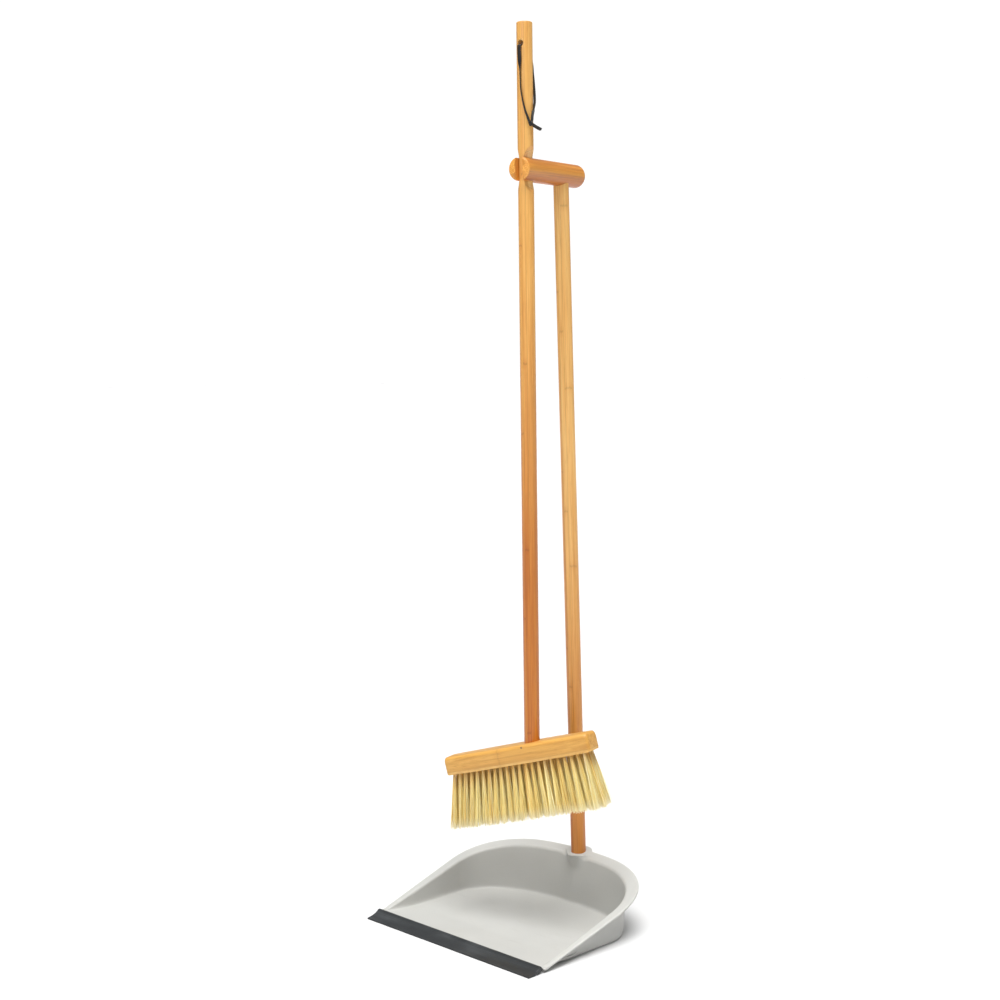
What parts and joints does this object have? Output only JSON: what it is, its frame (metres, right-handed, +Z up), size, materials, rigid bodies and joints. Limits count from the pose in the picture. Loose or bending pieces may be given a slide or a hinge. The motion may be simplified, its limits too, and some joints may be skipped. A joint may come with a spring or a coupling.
{
  "type": "dust pan and brush set",
  "caption": "Long-handled sheet-metal dust pan with a rubber lip; its brush hangs by a flat neck in a fork on the pan's upright bamboo handle, and a lace at the top hangs the brush up.",
  "frame": {"origin": "middle of the underside of the standing set, on the floor, measured without the hanging lace", "axes": "+Z up along the handles, -Y towards the pan's opening and its rubber lip, +X to the right of someone facing the opening's front from -Y"},
  "size_m": [0.3158, 0.2692, 1.15],
  "materials": {
    "pan_paint": "pale warm grey powder coat, satin",
    "lip_rubber": "dark grey matt rubber",
    "handle_bamboo": "lacquered laminated bamboo, fine straight grain",
    "crosspiece_bamboo": "lacquered bamboo, darker, fine streaks along its length",
    "block_bamboo": "smooth pale bamboo, light lacquer",
    "dowel_wood": "plain beech, unfinished",
    "bristle": "stiff cream plant fibre",
    "steel": "plain zinc-plated steel",
    "lace_leather": "near-black leather, slight sheen"
  },
  "bodies": {
    "pan": {"dust_pan": "pan_paint", "rubber_lip": "lip_rubber", "pan_handle": "handle_bamboo", "handle_screw": "steel", "handle_washer": "steel", "crosspiece": "crosspiece_bamboo", "crosspiece_dowel": "dowel_wood"},
    "brush": {"brush_handle": "handle_bamboo", "brush_block": "block_bamboo", "block_nail": "steel", "bristle_column_01": "bristle", "bristle_column_02": "bristle", "bristle_column_03": "bristle", "bristle_column_04": "bristle", "bristle_column_05": "bristle", "bristle_column_06": "bristle", "bristle_column_07": "bristle", "bristle_column_08": "bristle", "bristle_column_09": "bristle", "bristle_column_10": "bristle", "bristle_column_11": "bristle", "bristle_column_12": "bristle", "bristle_column_13": "bristle", "bristle_column_14": "bristle", "bristle_column_15": "bristle", "bristle_column_16": "bristle", "bristle_column_17": "bristle", "bristle_column_18": "bristle", "bristle_column_19": "bristle", "bristle_column_20": "bristle", "bristle_column_21": "bristle", "bristle_column_22": "bristle", "lace": "lace_leather", "lace_knot": "lace_leather", "lace_tail_1": "lace_leather", "lace_tail_2": "lace_leather"}
  },
  "joints": [
    {"name": "brush_pull", "type": "slide", "parent": "pan", "child": "brush", "axis": [0.2588, -0.9656, -0.0246], "range_m": [0, 0.25]}
  ]
}
